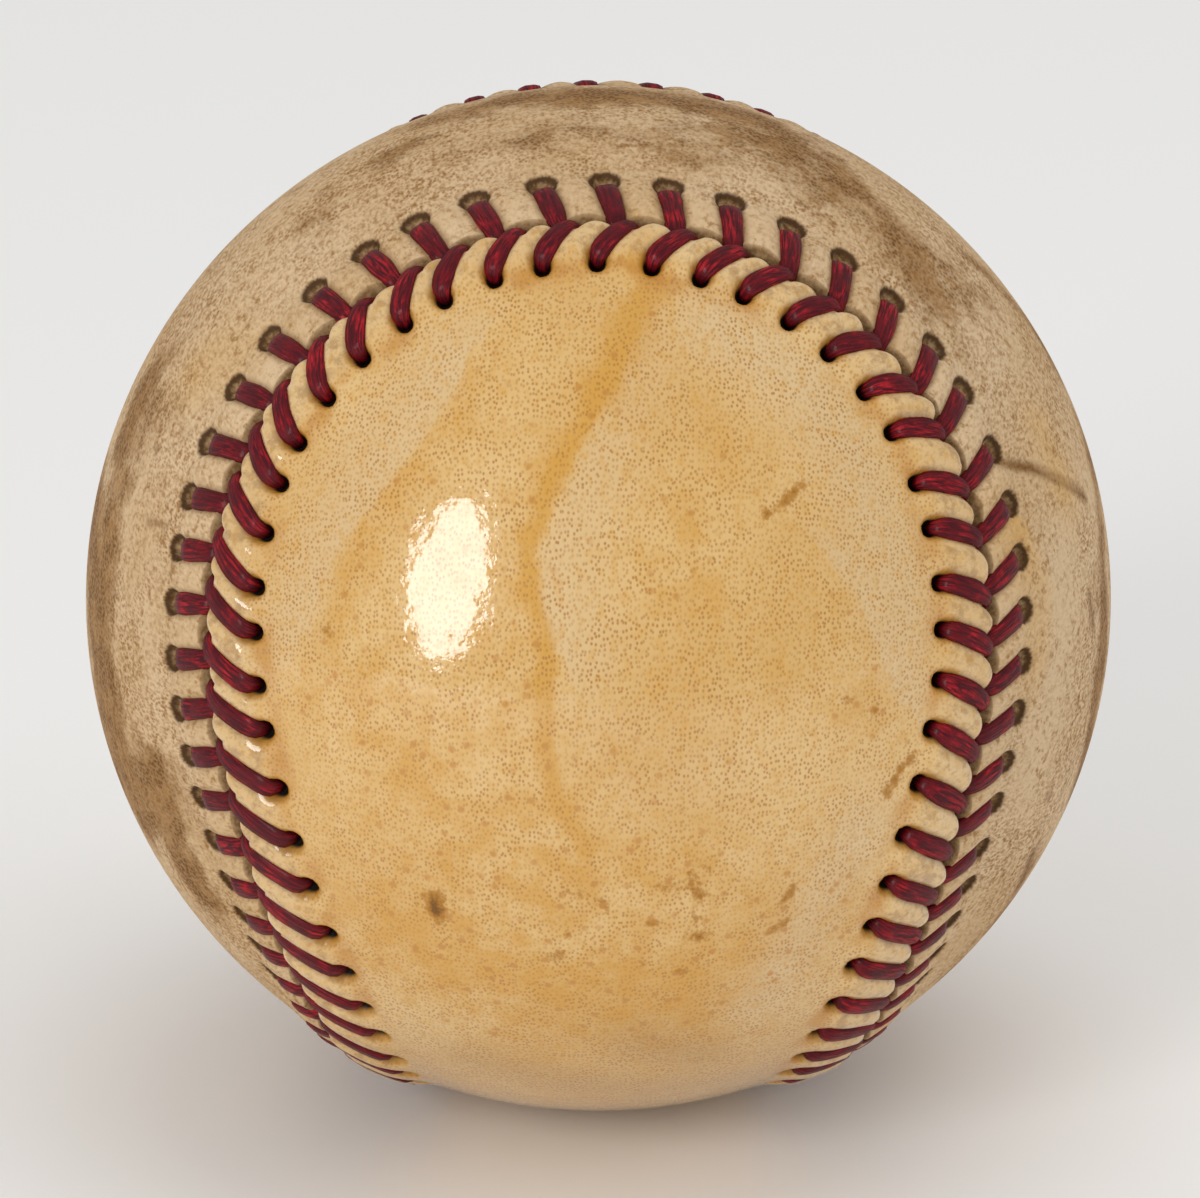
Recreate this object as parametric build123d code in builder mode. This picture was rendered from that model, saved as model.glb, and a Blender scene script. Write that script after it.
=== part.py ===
"""Baseball: a cork and rubber pill, four yarn windings, and two stitched leather covers.

The frame's origin is the centre of the ball, with +Z up. The seam is one closed line on the ball. It has
four lobes, and every lobe is the one before it turned by 90 degrees about Z and mirrored in Z. The lower cover
has its narrow neck at the bottom and its broad lobes at the front (-Y) and the back. The upper cover has its
neck at the top and its lobes at the sides.
"""

from build123d import *

import os
from dataclasses import dataclass
from math import atan2, cos, hypot, pi, sin, sqrt

# Pill, from the centre out: diameters and walls, in millimetres
CORK_DIAMETER = 20.6
INNER_CUP_WALL = 3.6
GASKET_THICKNESS = 0.8
OUTER_CUP_WALL = 3.5

# Windings, cement and leather: how thick each layer is
FIRST_WINDING = 13.9
SECOND_WINDING = 1.75
THIRD_WINDING = 2.25
FINISH_WINDING = 0.4
CEMENT_COAT = 0.1
LEATHER = 1.25

# Flat spot in the middle of each cover's neck, where leather gives under the ball as it lies: its diameter
REST_SPOT = 6.0

# Seam, measured along the ball's surface, with the turn of a lobe's end arc on each side of its tip in degrees
NECK_WIDTH = 32.8
LOBE_END_RADIUS = 29.6
LOBE_END_TURN = 73.0

# Raised lip of the leather along the seam: its height at the seam and at the row of holes, how far past
# the holes it runs out into the panel, and the bevel of its edge
LIP_RISE = 0.45
LIP_RISE_AT_HOLES = 0.24
LIP_RUNOUT = 2.2
LIP_BEVEL = 0.35

# Thread: flat waxed section, the bend of its middle line, and the room around it in holes and channels
THREAD_WIDTH = 1.3
THREAD_THICKNESS = 0.55
THREAD_BEND = 0.42
THREAD_CLEARANCE = 0.12
THREAD_JOINT_GAP = 0.04

# Stitches: how many there are, and how far the holes stand from the seam
STITCHES = 108
HOLE_INSET = 4.75

# Places along the seam, in stitches: where the first one lies, how far the holes slip past each other on the
# flanks of a lobe, and how far ahead of its number each cover's thread goes down into the gap
FIRST_STITCH = 0.6
HOLE_SLIP = 0.21
LOWER_LEAD = 0.72
UPPER_LEAD = 0.30

# Radii of the layers, worked out from the centre
cork_radius = CORK_DIAMETER / 2
inner_cup_radius = cork_radius + INNER_CUP_WALL
pill_radius = inner_cup_radius + OUTER_CUP_WALL
first_winding_radius = pill_radius + FIRST_WINDING
second_winding_radius = first_winding_radius + SECOND_WINDING
third_winding_radius = second_winding_radius + THIRD_WINDING
finish_winding_radius = third_winding_radius + FINISH_WINDING
cement_radius = finish_winding_radius + CEMENT_COAT
ball_radius = cement_radius + LEATHER
rest_height = sqrt(ball_radius**2 - (REST_SPOT / 2) ** 2)

LOWER = 1
UPPER = -1


# Seam line
@dataclass
class SeamArc:
    """One arc of the seam: a circle on the ball about an axis through the ball's centre."""

    start: Vector
    axis: Axis
    turn: float
    length: float

    def frame(self, distance):
        """Plane square to the seam: X points out of the ball, Y to the lower cover's side."""
        turned = self.turn * distance / self.length
        outward = self.start.rotate(self.axis, turned)
        sense = 1 if self.turn > 0 else -1
        ahead = self.axis.direction.cross(outward) * sense
        return Plane(origin=(0, 0, 0), x_dir=outward, z_dir=ahead)


def next_lobe(point):
    """Turn a direction by 90 degrees about Z and mirror it in Z, which carries one lobe onto the next."""
    return Vector(-point.Y, point.X, -point.Z)


def make_arc(start, axis_direction, turn):
    """Seam arc from a start direction, turned by a signed angle in degrees."""
    circle_radius = ball_radius * sin(start.get_angle(axis_direction) * pi / 180)
    length = circle_radius * abs(turn) * pi / 180
    return SeamArc(start, Axis((0, 0, 0), axis_direction), turn, length)


def front_lobe():
    """Start, axis and turn of the three arcs of the front lobe: left flank, end and right flank."""
    neck = NECK_WIDTH / 2 / ball_radius
    centre = neck + LOBE_END_RADIUS / ball_radius
    tip = Vector(0, -sin(neck), cos(neck))
    end_axis = Vector(0, -sin(centre), cos(centre))
    right_joint = tip.rotate(Axis((0, 0, 0), end_axis), -LOBE_END_TURN)
    left_joint = Vector(-right_joint.X, right_joint.Y, right_joint.Z)
    right_end = Vector(sqrt(0.5), -sqrt(0.5), 0)
    left_end = Vector(-sqrt(0.5), -sqrt(0.5), 0)

    # The flank is the arc that carries on from the end arc and reaches the point where the seam turns over
    inward = (end_axis - right_joint * right_joint.dot(end_axis)).normalized()
    flank_angle = atan2(1 - right_joint.dot(right_end), inward.dot(right_end))
    right_axis = right_joint * cos(flank_angle) + inward * sin(flank_angle)
    left_axis = Vector(-right_axis.X, right_axis.Y, right_axis.Z)
    from_joint = right_joint - right_axis * right_joint.dot(right_axis)
    to_end = right_end - right_axis * right_end.dot(right_axis)
    flank_turn = from_joint.get_angle(to_end)
    return (
        (left_end, left_axis, flank_turn),
        (left_joint, end_axis, 2 * LOBE_END_TURN),
        (right_joint, right_axis, flank_turn),
    )


def seam_line():
    """The twelve arcs of the seam in order. Seen from outside, the first lobe runs clockwise."""
    arcs = []
    lobe = front_lobe()
    sense = -1
    for _ in range(4):
        arcs += [make_arc(start, axis, sense * turn) for start, axis, turn in lobe]
        lobe = [(next_lobe(start), next_lobe(axis), turn) for start, axis, turn in lobe]
        sense = -sense
    return arcs


seam_arcs = seam_line()
seam_length = sum(arc.length for arc in seam_arcs)
stitch_pitch = seam_length / STITCHES


def seam_frame(distance):
    """Plane square to the seam at a distance along it."""
    distance %= seam_length
    for arc in seam_arcs:
        if distance <= arc.length:
            return arc.frame(distance)
        distance -= arc.length
    return seam_arcs[0].frame(0)


def section_point(radius, offset):
    """Point in a plane square to the seam: a distance from the ball's centre, and an offset to the side."""
    return (sqrt(radius**2 - offset**2), offset)


def ball_point(stitch, offset, radius):
    """Point in space: a place along the seam in stitches, an offset to the side, and a radius."""
    plane = seam_frame(stitch * stitch_pitch)
    return plane.from_local_coords(section_point(radius, offset))


# Stitch places, and the sizes that follow from the thread
def hole_place(side, number):
    """Place of a hole along the seam, in stitches."""
    place = FIRST_STITCH + number
    return place - side * HOLE_SLIP * cos(4 * pi * place / STITCHES)


def gap_place(side, number):
    """Place along the seam, in stitches, where a thread goes down into the gap."""
    return FIRST_STITCH + number + (LOWER_LEAD if side == LOWER else UPPER_LEAD)


hole_diameter = THREAD_WIDTH + 2 * THREAD_CLEARANCE
channel_height = THREAD_THICKNESS + 2 * THREAD_CLEARANCE
channel_edge = HOLE_INSET + hole_diameter / 2 + THREAD_CLEARANCE
lip_foot = HOLE_INSET + LIP_RUNOUT
steepest_lean = atan2((LOWER_LEAD + HOLE_SLIP) * stitch_pitch, HOLE_INSET)
slanted_thread = hypot(THREAD_WIDTH * sin(steepest_lean), THREAD_THICKNESS * cos(steepest_lean))
gap_width = slanted_thread + 2 * THREAD_CLEARANCE

lip_radius = ball_radius + LIP_RISE
hole_rim_radius = ball_radius + LIP_RISE_AT_HOLES
channel_radius = cement_radius + channel_height
run_radius = cement_radius + channel_height / 2
post_radius = run_radius + THREAD_THICKNESS / 2 + THREAD_JOINT_GAP
lift = THREAD_THICKNESS / 2 + THREAD_CLEARANCE


# Pill: a cork ball, two black cups with a ring between their rims, and two red cups turned by 90 degrees
with BuildPart() as cork_core:
    Sphere(cork_radius)

with BuildPart() as inner_cup_upper:
    Sphere(inner_cup_radius)
    Sphere(cork_radius, mode=Mode.SUBTRACT)
    split(bisect_by=Plane.XY.offset(GASKET_THICKNESS / 2))

with BuildPart() as inner_cup_lower:
    mirror(inner_cup_upper.part, about=Plane.XY)

with BuildPart() as inner_cup_gasket:
    Sphere(inner_cup_radius)
    Sphere(cork_radius, mode=Mode.SUBTRACT)
    split(bisect_by=Plane.XY.offset(-GASKET_THICKNESS / 2))
    split(bisect_by=Plane.XY.offset(GASKET_THICKNESS / 2), keep=Keep.BOTTOM)

with BuildPart() as outer_cup_right:
    Sphere(pill_radius)
    Sphere(inner_cup_radius, mode=Mode.SUBTRACT)
    split(bisect_by=Plane.YZ)

with BuildPart() as outer_cup_left:
    mirror(outer_cup_right.part, about=Plane.YZ)

# Windings and cement: closed round layers, each on the one before
with BuildPart() as first_winding:
    Sphere(first_winding_radius)
    Sphere(pill_radius, mode=Mode.SUBTRACT)

with BuildPart() as second_winding:
    Sphere(second_winding_radius)
    Sphere(first_winding_radius, mode=Mode.SUBTRACT)

with BuildPart() as third_winding:
    Sphere(third_winding_radius)
    Sphere(second_winding_radius, mode=Mode.SUBTRACT)

with BuildPart() as finish_winding:
    Sphere(finish_winding_radius)
    Sphere(third_winding_radius, mode=Mode.SUBTRACT)

with BuildPart() as cement_coat:
    Sphere(cement_radius)
    Sphere(finish_winding_radius, mode=Mode.SUBTRACT)


# Leather: a round skin with a ridge along the seam, hollowed for the thread and parted by the gap
def seam_band(half_outline):
    """Solids along the seam, one for each arc, from an outline whose other half is its mirror image."""
    outline = half_outline + [(x, -y) for x, y in reversed(half_outline) if y > 0]
    solids = []
    for arc in seam_arcs:
        with BuildPart() as band:
            with BuildSketch(arc.frame(0)):
                with BuildLine():
                    Polyline(*outline, close=True)
                make_face()
            revolve(axis=arc.axis, revolution_arc=arc.turn)
        solids.append(band.part)
    return solids


gap_edge = gap_width / 2
under_leather = cement_radius - LEATHER

ridge = seam_band([
    section_point(ball_radius - LIP_RISE, lip_foot),
    section_point(hole_rim_radius, HOLE_INSET),
    section_point(lip_radius, gap_edge),
])
channel = seam_band([
    section_point(under_leather, channel_edge),
    section_point(channel_radius, channel_edge),
    section_point(channel_radius, channel_edge / 2),
    section_point(channel_radius, 0),
])
gap = seam_band([
    section_point(under_leather, gap_edge),
    section_point(lip_radius - LIP_BEVEL, gap_edge),
    section_point(lip_radius + LIP_BEVEL, gap_edge + 2 * LIP_BEVEL),
])

with BuildPart() as leather:
    Sphere(ball_radius)
    split(bisect_by=Plane.XY.offset(-rest_height))
    split(bisect_by=Plane.XY.offset(rest_height), keep=Keep.BOTTOM)
    Sphere(cement_radius, mode=Mode.SUBTRACT)
    for band in ridge:
        add(band)
    for band in channel:
        add(band, mode=Mode.SUBTRACT)

# All arcs of the gap are cut at once, because the leather comes apart only where they close the line
lower_blank, upper_blank = leather.part.cut(*gap).solids().sort_by(Axis.Z)


def stitch_holes(side):
    """Round plugs in the place of one cover's stitch holes."""
    planes = []
    for number in range(STITCHES):
        place = hole_place(side, number)
        rim = ball_point(place, side * HOLE_INSET, hole_rim_radius)
        planes.append(Plane(origin=rim, z_dir=seam_frame(place * stitch_pitch).x_dir))
    with BuildPart() as plugs:
        with Locations(*planes):
            Cylinder(hole_diameter / 2, 2 * LEATHER)
    return plugs.solids()


lower_holes = stitch_holes(LOWER)
upper_holes = stitch_holes(UPPER)

with BuildPart() as lower_cover:
    add(lower_blank.cut(*lower_holes), clean=False)

with BuildPart() as upper_cover:
    add(upper_blank.cut(*upper_holes), clean=False)


# Threads: for each stitch a staple of flat thread over the lip, and a run under the other cover to the next hole
def flat_thread(points):
    """Flat thread along points that lie close to one plane, its width across that plane."""
    along = points[-2] - points[1] if len(points) > 3 else points[-1] - points[0]
    plane = Plane(origin=points[1], x_dir=along, z_dir=along.cross(points[1]))
    middle_line = [plane.to_local_coords(point) for point in points]
    with BuildPart() as ribbon:
        with BuildSketch(plane):
            with BuildLine():
                FilletPolyline(*[(point.X, point.Y) for point in middle_line], radius=THREAD_BEND)
            trace(line_width=THREAD_THICKNESS)
        extrude(amount=THREAD_WIDTH / 2, both=True)
    return ribbon.part


def stitch(side, number):
    """One stitch: out of its hole, over the lip, into the gap and under the other cover to the next hole."""
    hole = hole_place(side, number)
    entry = gap_place(side, number)
    next_hole = hole_place(-side, number + 1)
    inset = side * HOLE_INSET
    run_end = -inset - side * THREAD_THICKNESS / 2
    staple = flat_thread([
        ball_point(hole, inset, post_radius),
        ball_point(hole, inset, hole_rim_radius + lift),
        ball_point(entry, 0, lip_radius + lift),
        ball_point(entry, 0, run_radius),
    ])
    run = flat_thread([
        ball_point(entry, 0, run_radius),
        ball_point((entry + next_hole) / 2, run_end / 2, run_radius),
        ball_point(next_hole, run_end, run_radius),
    ])
    with BuildPart() as whole:
        add(staple)
        add(run)
    return whole.part


def thread_stitches(parity):
    """Stitches of one thread, which takes every other hole of each cover in turn."""
    sides = [LOWER if number % 2 == parity else UPPER for number in range(STITCHES)]
    return [stitch(side, number) for number, side in enumerate(sides)]


first_stitches = thread_stitches(0)
second_stitches = thread_stitches(1)

with BuildPart() as stitch_thread_1:
    add(first_stitches, clean=False)

with BuildPart() as stitch_thread_2:
    add(second_stitches, clean=False)


nodes = {
    "cork_core": cork_core,
    "inner_cup_lower": inner_cup_lower,
    "inner_cup_upper": inner_cup_upper,
    "inner_cup_gasket": inner_cup_gasket,
    "outer_cup_left": outer_cup_left,
    "outer_cup_right": outer_cup_right,
    "first_winding": first_winding,
    "second_winding": second_winding,
    "third_winding": third_winding,
    "finish_winding": finish_winding,
    "cement_coat": cement_coat,
    "lower_cover": lower_cover,
    "upper_cover": upper_cover,
    "stitch_thread_1": stitch_thread_1,
    "stitch_thread_2": stitch_thread_2,
}

os.makedirs("parts", exist_ok=True)
for name, node in nodes.items():
    node.part.label = name
    export_step(node.part, f"parts/{name}.step")
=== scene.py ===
"""Baseball: two worn leather covers with puckered lips, red waxed stitching, and the layers inside."""

from math import asin, atan2, cos, pi, radians, sin, sqrt, tan

import bpy
import numpy as np
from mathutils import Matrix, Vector
from mathutils.geometry import delaunay_2d_cdt


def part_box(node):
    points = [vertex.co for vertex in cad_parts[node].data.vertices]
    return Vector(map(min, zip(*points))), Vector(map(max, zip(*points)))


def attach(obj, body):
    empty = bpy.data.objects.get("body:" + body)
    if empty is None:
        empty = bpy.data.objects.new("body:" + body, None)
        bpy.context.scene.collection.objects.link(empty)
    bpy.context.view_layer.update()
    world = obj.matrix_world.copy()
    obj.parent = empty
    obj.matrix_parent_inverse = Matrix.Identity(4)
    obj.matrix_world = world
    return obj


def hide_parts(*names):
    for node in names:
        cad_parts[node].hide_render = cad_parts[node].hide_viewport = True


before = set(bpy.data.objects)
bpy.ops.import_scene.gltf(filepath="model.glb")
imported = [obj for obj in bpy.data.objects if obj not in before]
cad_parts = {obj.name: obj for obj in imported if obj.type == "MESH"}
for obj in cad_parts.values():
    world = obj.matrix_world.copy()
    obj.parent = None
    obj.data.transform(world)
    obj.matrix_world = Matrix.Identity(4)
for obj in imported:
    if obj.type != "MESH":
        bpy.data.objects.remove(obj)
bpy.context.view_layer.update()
bpy.ops.object.select_all(action="DESELECT")

MM = 0.001

# Ball, from the frame: the plain leather's radius, its middle's height at rest, and the core's radius
BALL_RADIUS = -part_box("lower_cover")[0][1]
REST_HEIGHT = -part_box("lower_cover")[0][2]
CEMENT_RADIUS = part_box("cement_coat")[1][1]

# Seam: sizes along the surface, the turn of a lobe's end arc on each side of its tip,
# and the side of the seam that each cover lies on
NECK_WIDTH = 32.8 * MM
LOBE_END_RADIUS = 29.6 * MM
LOBE_END_TURN = radians(73.0)
SIDE = {"lower": 1, "upper": -1}

# Stitches: their number, and in stitches along the seam: the first one's place on each cover,
# how far the holes slip back, how far a leg leans ahead, and how far the spacing shifts round
# the lobes and beside their tips
STITCHES = 108
FIRST_STITCH = {"lower": 0.44, "upper": 0.58}
HOLE_SLIP = 0.22
LEAD = {"lower": 0.76, "upper": 0.27}
LOBE_SPREAD = 0.40
TIP_SPREAD = {"lower": 0.05, "upper": 0.30}

# Photograph: its size in pixels, the ball's outline in it, and the camera's place
PHOTO_WIDTH = 1200
PHOTO_HEIGHT = 1198
PHOTO_CENTRE = (598.4, 598.1)
PHOTO_RADIUS = 512.5
CAMERA_ELEVATION = radians(20.0)
CAMERA_DISTANCE = 14.0 * BALL_RADIUS


# Seam line
def turn_about(points, axis, angle):
    """Points turned about an axis through the centre, each by its own angle."""
    angle = np.atleast_1d(angle)[:, None]
    points = np.atleast_2d(points)
    along = points @ axis
    swung = points * np.cos(angle) + np.cross(axis, points) * np.sin(angle)
    return swung + np.outer(along, axis) * (1 - np.cos(angle))


def unit(vectors):
    """Vectors at length one."""
    return vectors / np.linalg.norm(vectors, axis=-1, keepdims=True)


def seam_arcs():
    """The seam's twelve arcs in order, each with its start, axis, signed turn and length."""
    neck = NECK_WIDTH / 2 / BALL_RADIUS
    centre = neck + LOBE_END_RADIUS / BALL_RADIUS
    tip = np.array([0, -sin(neck), cos(neck)])
    end_axis = np.array([0, -sin(centre), cos(centre)])
    joint = turn_about(tip, end_axis, -LOBE_END_TURN)[0]
    turnover = np.array([sqrt(0.5), -sqrt(0.5), 0])

    # The flank arc goes on smoothly from the end arc and meets the next lobe at the turnover
    inward = unit(end_axis - joint * (joint @ end_axis))
    flank_angle = atan2(1 - joint @ turnover, inward @ turnover)
    flank_axis = joint * cos(flank_angle) + inward * sin(flank_angle)
    flat_joint = unit(joint - flank_axis * (joint @ flank_axis))
    flat_turnover = unit(turnover - flank_axis * (turnover @ flank_axis))
    flank_turn = np.arccos(flat_joint @ flat_turnover)
    mirror = np.array([-1, 1, 1])
    lobe = [
        (turnover * mirror, flank_axis * mirror, flank_turn),
        (joint * mirror, end_axis, 2 * LOBE_END_TURN),
        (joint, flank_axis, flank_turn),
    ]
    next_lobe = np.array([[0, -1, 0], [1, 0, 0], [0, 0, -1]])
    arcs = []
    for sense in (-1, 1, -1, 1):
        for start, axis, turn in lobe:
            length = BALL_RADIUS * np.linalg.norm(np.cross(axis, start)) * turn
            arcs.append((start, axis, sense * turn, length))
        lobe = [(next_lobe @ start, next_lobe @ axis, turn) for start, axis, turn in lobe]
    return arcs


SEAM_ARCS = seam_arcs()
SEAM_LENGTH = sum(arc[3] for arc in SEAM_ARCS)
PITCH = SEAM_LENGTH / STITCHES


def seam_frames(stitch):
    """Directions out of the ball and to the lower cover's side, at places along the seam in stitches."""
    distance = np.mod(np.asarray(stitch, float) * PITCH, SEAM_LENGTH)
    ends = np.cumsum([arc[3] for arc in SEAM_ARCS])
    which = np.minimum(np.searchsorted(ends, distance), len(SEAM_ARCS) - 1)
    outward = np.zeros((len(distance), 3))
    aside = np.zeros((len(distance), 3))
    for number, (start, axis, turn, length) in enumerate(SEAM_ARCS):
        here = which == number
        if not here.any():
            continue
        begun = ends[number] - length
        outward[here] = turn_about(start, axis, turn * (distance[here] - begun) / length)
        ahead = unit(np.cross(axis, outward[here])) * np.sign(turn)
        aside[here] = np.cross(ahead, outward[here])
    return outward, aside


def on_ball(stitch, offset, radius):
    """Points in space: places along the seam, offsets to the lower cover's side, and radii."""
    outward, aside = seam_frames(stitch)
    angle = (np.asarray(offset) / BALL_RADIUS)[:, None]
    return (outward * np.cos(angle) + aside * np.sin(angle)) * np.asarray(radius)[:, None]


def smooth_step(low, high, value):
    """Zero below low, one above high, and smooth between them."""
    share = np.clip((value - low) / (high - low), 0, 1)
    return share * share * (3 - 2 * share)


# Relief of the leather along the seam, in millimetres: depth is the distance from the seam into a cover,
# and each cover has a lip that falls away, tabs that bulge between the legs, and grooves under them
BAND_DEPTH = 8.5
LIP_RISE = {"lower": 0.40, "upper": 0.20}
LIP_FALL = (0.8, 7.5)
TAB_BULGE = {"lower": 0.60, "upper": 0.40}
VALLEY_HALF_WIDTH = 1.05
GROOVE = {"lower": 0.14, "upper": 0.16}
GROOVE_HALF_WIDTH = 0.7
PUCKER_FADE = (2.6, 5.9)

# Cut edges: depth at a leg, height, lean and fullness of the scallop between legs, and the edge's roll
EDGE_DEPTH = {"lower": 0.80, "upper": -0.02}
SCALLOP = {"lower": -0.72, "upper": 0.30}
SCALLOP_LEAN = {"lower": 0.7, "upper": 1.0}
SCALLOP_FULLNESS = {"lower": 0.95, "upper": 0.8}
EDGE_ROLL = {"lower": 0.75, "upper": 0.45}

# Stitch holes: depth that the legs end at, and each hole's middle, size and shape
HOLE_INSET = {"lower": 4.10, "upper": 3.45}
HOLE_CENTRE = {"lower": 4.42, "upper": 4.20}
HOLE_RADIUS = {"lower": 0.68, "upper": 0.98}
HOLE_DEPTH = {"lower": 1.1, "upper": 0.65}
HOLE_WIDTH = {"lower": 1.0, "upper": 0.87}
HOLE_SLIMNESS = 0.9

# Shifts of the edge and the holes at the lobes' tips, and the share of a leg's lean near the seam alone
TIP_SHIFT = 0.65
TIP_HOLE_SHIFT = 0.45
TIP_SHIFT_START = 0.5
LEG_TAIL = {"lower": 0.26, "upper": 0.0}

# Scatter of hand sewing: of the holes along the seam in stitches, and of the tabs' bulge as a share
HOLE_SCATTER = 0.035
TAB_SCATTER = 0.12
scatter = np.random.default_rng(108)
HOLE_JITTER = {cover: scatter.normal(0, HOLE_SCATTER, STITCHES) for cover in SIDE}
TAB_JITTER = {cover: 1 + scatter.normal(0, TAB_SCATTER, STITCHES) for cover in SIDE}


def lobe_turn(stitch):
    """Angle that goes round once for each lobe of a cover."""
    return 4 * pi * stitch / STITCHES


def hole_slip(cover, stitch):
    """How far the holes of a cover lie behind their stitch number, in stitches."""
    return SIDE[cover] * HOLE_SLIP * np.cos(lobe_turn(stitch))


def stitch_spread(cover, stitch):
    """Shift of a cover's stitches along the seam, in stitches: widest apart at the lower lobes."""
    turn = lobe_turn(stitch)
    return -LOBE_SPREAD * np.cos(turn) - TIP_SPREAD[cover] * np.sin(2 * turn)


def leg_place(cover, stitch, depth):
    """Place of the thread leg that belongs to a stitch number, where it is at a depth from the seam."""
    share = np.clip(1 - depth / HOLE_INSET[cover], 0, 1)
    slip = hole_slip(cover, stitch)
    tail = LEG_TAIL[cover]
    ahead = (LEAD[cover] + slip) * ((1 - tail) * share + tail * share**8) - slip
    return stitch + stitch_spread(cover, stitch) + ahead


def from_leg(cover, stitch, depth):
    """Signed millimetres along the seam to the nearest thread leg, and the number of the tab there."""
    number = stitch
    for _ in range(4):
        number = stitch - (leg_place(cover, number, depth) - number)
    shifted = number - FIRST_STITCH[cover]
    leg = np.round(shifted).astype(int) % STITCHES
    away = shifted - np.round(shifted) - HOLE_JITTER[cover][leg]
    return away * PITCH / MM, np.where(away < 0, leg - 1, leg) % STITCHES


def edge_depth(cover, stitch):
    """Depth of a cover's cut edge: scalloped between the legs, the lower cover's towards the seam."""
    away, tab = from_leg(cover, stitch, np.zeros_like(stitch))
    past_leg = np.mod(away * MM / PITCH, 1)
    scallop = np.sin(pi * past_leg ** SCALLOP_LEAN[cover]) ** SCALLOP_FULLNESS[cover]
    return EDGE_DEPTH[cover] + SCALLOP[cover] * scallop * TAB_JITTER[cover][tab]


def leather_height(cover, stitch, depth):
    """Height of the leather over the plain ball, in millimetres, without the stitch holes."""
    away, tab = from_leg(cover, stitch, depth)
    lip = LIP_RISE[cover] * (1 - smooth_step(*LIP_FALL, depth))
    near_seam = 1 - smooth_step(*PUCKER_FADE, depth)
    between_legs = 1 - np.exp(-((away / VALLEY_HALF_WIDTH) ** 2))
    bulge = TAB_BULGE[cover] * TAB_JITTER[cover][tab] * between_legs
    groove = GROOVE[cover] * np.exp(-((away / GROOVE_HALF_WIDTH) ** 2))
    return lip + near_seam * (bulge - groove)


def seam_offset(cover, stitch, depth):
    """Metres to the lower cover's side at a depth in a cover: lobes are shorter at their tips."""
    tip = np.sin(lobe_turn(stitch))
    near_edge = 1 - smooth_step(0, HOLE_INSET[cover], depth)
    before_hole = smooth_step(TIP_SHIFT_START, HOLE_CENTRE[cover], depth)
    near_hole = before_hole * (1 - smooth_step(HOLE_CENTRE[cover], BAND_DEPTH, depth))
    own_tip = np.maximum(0, SIDE[cover] * tip)
    own_offset = SIDE[cover] * (depth - TIP_HOLE_SHIFT * own_tip * near_hole)
    return (own_offset + TIP_SHIFT * tip * near_edge) * MM


def hole_nearness(cover, stitch, depth):
    """Distance to the nearest stitch hole's centre, as a share of the hole's radius."""
    away, _ = from_leg(cover, stitch, np.full_like(depth, HOLE_CENTRE[cover]))
    beyond = (depth - HOLE_CENTRE[cover]) * HOLE_SLIMNESS
    return np.hypot(away / HOLE_WIDTH[cover], beyond) / HOLE_RADIUS[cover]


# Stains on the leather, as strokes over pixels of the photograph: each has its points, its half width
# in millimetres, or one to the left and one to the right of its way, and its strength
AMBER_STROKES = (
    ([(655, 285), (633, 350), (600, 409), (562, 468), (546, 515), (531, 555), (534, 590), (547, 625),
      (551, 660), (548, 740), (560, 800), (590, 850)], 0.5, 1.5, 0.85),
    ([(655, 295), (630, 350), (604, 400)], 1.3, 2.2, 0.85),
    ([(632, 238), (655, 290)], 1.6, 0.9),
    ([(560, 480), (515, 560), (520, 680), (550, 790), (590, 850)], 2.5, 5.5, 0.36),
    ([(473, 364), (442, 416), (414, 456), (381, 496), (350, 545), (322, 610), (296, 690)],
     4.5, 0.45, 0.38),
    ([(400, 720), (420, 790), (470, 860), (560, 900)], 8.0, 0.50),
    ([(560, 860), (600, 880), (690, 880)], 5.0, 0.42),
    ([(400, 930), (560, 990), (720, 980), (800, 920)], 7.5, 0.62),
    ([(820, 572), (849, 584), (859, 613), (872, 649), (886, 684), (897, 709)], 0.45, 3.0, 0.27),
    ([(800, 610), (800, 740), (740, 800)], 4.0, 0.08),
    ([(690, 500), (705, 560), (715, 600)], 2.2, 0.35),
    ([(620, 520), (650, 590)], 2.6, 0.30),
    ([(400, 960), (470, 1020), (560, 1040)], 4.0, 0.35),
    ([(600, 330), (640, 450), (720, 470)], 5.0, 0.25),
    ([(1040, 430), (1060, 480)], 2.6, 0.95),
    ([(1025, 530), (1050, 590), (1045, 660)], 0.6, 3.0, 0.80),
    ([(200, 370), (230, 350)], 3.0, 0.35),
)
PALE_STROKES = (
    ([(460, 372), (430, 420), (400, 460), (365, 505), (335, 550), (306, 620)], 0.45, 4.5, 0.60),
    ([(586, 455), (566, 505), (545, 550), (545, 600), (560, 650)], 4.2, 0.35, 0.50),
    ([(836, 562), (860, 590), (872, 625), (888, 665), (905, 700)], 3.0, 0.45, 0.60),
    ([(640, 340), (620, 400), (590, 440)], 3.5, 0.35, 0.35),
    ([(600, 720), (640, 780), (700, 760)], 4.0, 0.18),
    ([(720, 325), (800, 380), (850, 450), (885, 540), (908, 620)], 3.4, 0.60),
    ([(860, 830), (820, 900), (760, 1000)], 2.6, 0.60),
    ([(420, 380), (360, 430), (325, 510), (300, 620)], 2.2, 0.40),
    ([(960, 310), (1010, 380), (1040, 440)], 7.0, 0.55),
    ([(1060, 560), (1062, 660), (1030, 780)], 5.0, 0.90),
    ([(240, 330), (290, 270), (360, 215)], 2.5, 0.35),
)
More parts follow.
